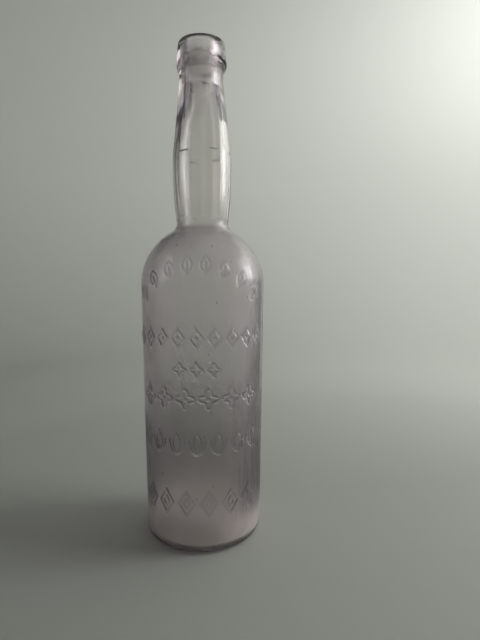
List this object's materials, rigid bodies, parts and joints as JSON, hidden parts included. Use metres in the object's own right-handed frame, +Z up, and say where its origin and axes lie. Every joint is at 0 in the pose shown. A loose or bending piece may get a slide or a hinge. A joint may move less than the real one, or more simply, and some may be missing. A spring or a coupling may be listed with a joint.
{
  "type": "glass bottle",
  "caption": "Tall round mould-blown glass bottle with a domed shoulder, a long swelling neck and an applied lip whose mouth takes a cork.",
  "frame": {"origin": "centre of the ring that the bottle stands on", "axes": "+Z up along the bottle's axis; -Y is the side with the moulded front panel"},
  "size_m": [0.0704, 0.0704, 0.2793],
  "materials": {
    "body_glass": "clear soda-lime glass turned faintly amethyst, hazed inside and worn outside",
    "lip_glass": "the same glass, fire-polished and glossy, with tool marks"
  },
  "bodies": {
    "root": {"glass_body": "body_glass", "applied_lip": "lip_glass"}
  },
  "joints": []
}
